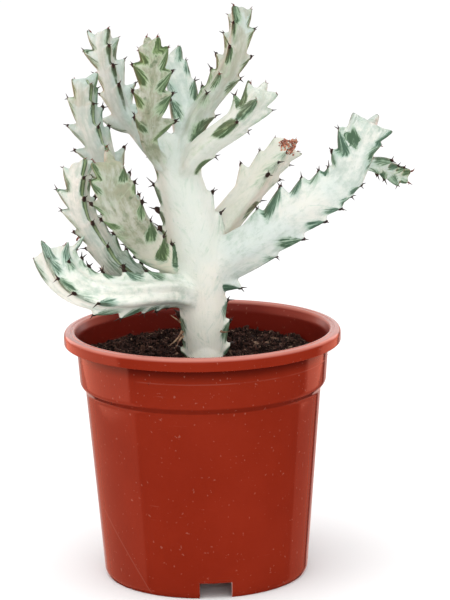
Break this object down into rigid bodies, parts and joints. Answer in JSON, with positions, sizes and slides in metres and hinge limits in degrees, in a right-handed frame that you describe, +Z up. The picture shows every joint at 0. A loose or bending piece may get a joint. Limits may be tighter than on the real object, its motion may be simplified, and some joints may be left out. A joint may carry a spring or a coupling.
{
  "type": "potted euphorbia",
  "caption": "Potted candelabra euphorbia of the white ghost form, its toothed and thorny branches grown from one trunk, in a round plastic grower's pot filled with soil.",
  "frame": {"origin": "under the middle of the whole object's box, on the surface the pot stands on; the pot's own axis is 14.5 mm to its left", "axes": "+Z up, -Y towards the viewer of the picture, which is the side of the branch that leans forward, +X to that viewer's right, where the longest branch reaches"},
  "size_m": [0.2599, 0.19, 0.3935],
  "materials": {
    "pot": "satin",
    "soil": "matte",
    "plant": "satin"
  },
  "bodies": {
    "root": {"pot": "pot", "soil": "soil", "euphorbia": "plant"}
  },
  "joints": []
}
